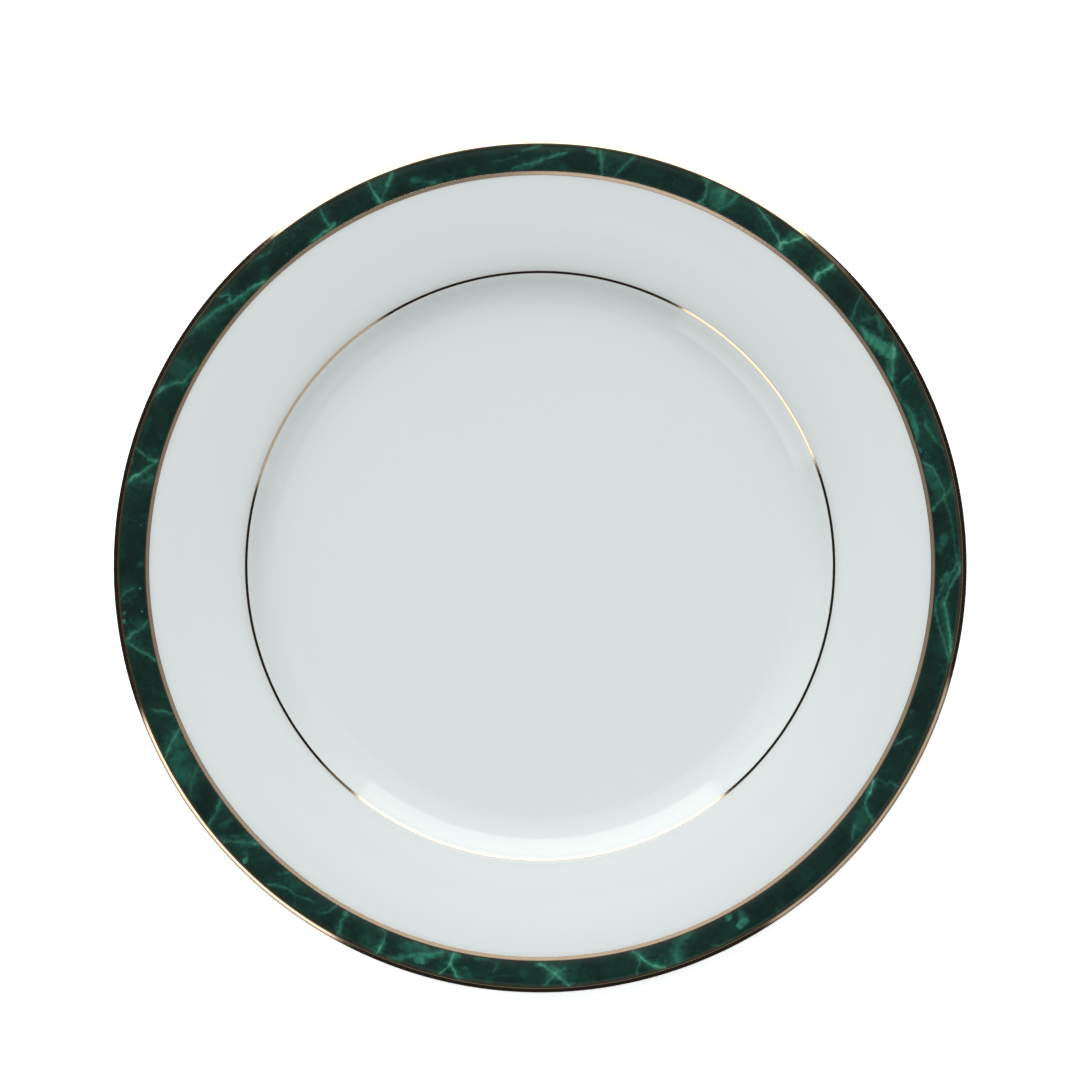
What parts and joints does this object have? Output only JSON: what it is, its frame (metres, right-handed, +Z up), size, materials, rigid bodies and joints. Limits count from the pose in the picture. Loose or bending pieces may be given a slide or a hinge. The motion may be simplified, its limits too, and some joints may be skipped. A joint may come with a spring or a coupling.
{
  "type": "dinner plate",
  "caption": "Round china dinner plate: flat white well, raised white inner rim, green marbled outer band between gilded lines, gilded lip and a foot ring.",
  "frame": {"origin": "centre of the foot ring, on the plane the plate rests on", "axes": "+Z up through the centre of the plate, out of its face; X and Y in the resting plane, +Y towards the top of the pattern"},
  "size_m": [0.2701, 0.2702, 0.0201],
  "materials": {
    "bisque": "matt, unglazed, seen only on the wiped foot",
    "clear_glaze": "glossy, cool white",
    "marble_print": "glossy dark green marble with paler green clouds and veins",
    "gilding": "polished gold"
  },
  "bodies": {
    "root": {"porcelain_body": "bisque", "glaze_coat": "clear_glaze", "base_glaze": "clear_glaze", "marble_band": "marble_print", "rim_gold": "gilding", "border_gold_line": "gilding", "verge_gold_line": "gilding"}
  },
  "joints": []
}
